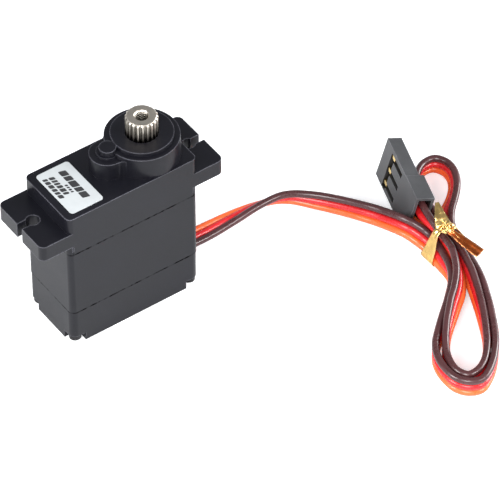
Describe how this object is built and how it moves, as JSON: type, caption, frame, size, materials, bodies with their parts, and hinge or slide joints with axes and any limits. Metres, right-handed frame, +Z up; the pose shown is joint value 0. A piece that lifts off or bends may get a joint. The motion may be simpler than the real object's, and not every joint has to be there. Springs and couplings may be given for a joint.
{
  "type": "servo motor",
  "caption": "Small black metal-gear servo with mounting ears, splined output shaft, and a ribbon lead bundled with a foil twist tie.",
  "frame": {"origin": "centre of the flat bottom face of the case", "axes": "+X from the label end to the output and lead end, +Z up along the output shaft, away from the bottom face"},
  "size_m": [0.0723, 0.0549, 0.0335],
  "materials": {
    "black_plastic": "satin, lightly textured",
    "plug_plastic": "satin",
    "cream_plastic": "matte",
    "steel": "nickel plated, bright",
    "dark_steel": "blackened",
    "brass": "machined",
    "copper": "copper, bright",
    "gold": "gold flash",
    "ferrite": "sintered, dull",
    "silver_label": "silver film",
    "board_green": "solder mask",
    "carbon": "carbon film",
    "chip": "moulded epoxy",
    "ceramic": "fired ceramic",
    "rubber": "matte",
    "brown_wire": "satin PVC",
    "red_wire": "satin PVC",
    "orange_wire": "satin PVC",
    "gold_foil": "crumpled metallised film"
  },
  "bodies": {
    "case": {"bottom_case": "black_plastic", "middle_case": "black_plastic", "upper_case": "black_plastic", "case_screw_1": "dark_steel", "case_screw_2": "dark_steel", "case_screw_3": "dark_steel", "case_screw_4": "dark_steel", "label": "silver_label", "idler_pin": "steel", "bearing_outer_race": "steel", "motor_can": "steel", "motor_end_cap": "cream_plastic", "motor_bushing": "brass", "magnet_1": "ferrite", "magnet_2": "ferrite", "brush_1": "copper", "brush_2": "copper", "motor_terminal_1": "copper", "motor_terminal_2": "copper", "pot_body": "black_plastic", "pot_track": "carbon", "pot_lead_1": "copper", "pot_lead_2": "copper", "pot_lead_3": "copper", "control_board": "board_green", "control_chip": "chip", "driver_chip": "chip", "capacitor": "ceramic", "resistor": "ceramic", "lead_brown": "brown_wire", "lead_red": "red_wire", "lead_orange": "orange_wire", "strain_relief": "rubber", "plug_housing": "plug_plastic", "plug_contact_1": "gold", "plug_contact_2": "gold", "plug_contact_3": "gold", "twist_tie": "gold_foil"},
    "rotor": {"motor_shaft": "steel", "motor_pinion": "brass", "armature_core": "dark_steel", "armature_coil_1": "copper", "armature_coil_2": "copper", "armature_coil_3": "copper", "commutator": "copper"},
    "first_wheel": {"gear_1": "brass"},
    "second_wheel": {"gear_2": "brass"},
    "third_wheel": {"gear_3": "brass"},
    "output": {"output_shaft": "steel", "output_gear": "brass", "bearing_inner_race": "steel", "pot_wiper": "brass"},
    "ball_cage": {"bearing_balls": "steel"}
  },
  "joints": [
    {"name": "motor_spin", "type": "hinge", "parent": "case", "child": "rotor", "pos_m": [-0.0054, 0, 0.02], "axis": [0, 0, 1], "range_deg": [-13547.7, 13547.7]},
    {"name": "first_wheel_spin", "type": "hinge", "parent": "case", "child": "first_wheel", "pos_m": [-0.0003, 0.0003, 0.02], "axis": [0, 0, 1], "range_deg": [-2903.5, 2903.5]},
    {"name": "second_wheel_spin", "type": "hinge", "parent": "case", "child": "second_wheel", "pos_m": [0.0056, 0, 0.02], "axis": [0, 0, 1], "range_deg": [-784.8, 784.8]},
    {"name": "third_wheel_spin", "type": "hinge", "parent": "case", "child": "third_wheel", "pos_m": [-0.0003, 0.0003, 0.02], "axis": [0, 0, 1], "range_deg": [-300.2, 300.2]},
    {"name": "output_turn", "type": "hinge", "parent": "case", "child": "output", "pos_m": [0.0056, 0, 0.02], "axis": [0, 0, 1], "range_deg": [-90.05, 90.05]},
    {"name": "ball_cage_roll", "type": "hinge", "parent": "case", "child": "ball_cage", "pos_m": [0.0056, 0, 0.02], "axis": [0, 0, 1], "range_deg": [-39.4, 39.4]}
  ],
  "couplings": [
    {"joint": "first_wheel_spin", "follows": "motor_spin", "ratio": -0.21429},
    {"joint": "second_wheel_spin", "follows": "motor_spin", "ratio": 0.057915},
    {"joint": "third_wheel_spin", "follows": "motor_spin", "ratio": -0.022144},
    {"joint": "output_turn", "follows": "motor_spin", "ratio": 0.0066432},
    {"joint": "ball_cage_roll", "follows": "motor_spin", "ratio": 0.002898}
  ]
}
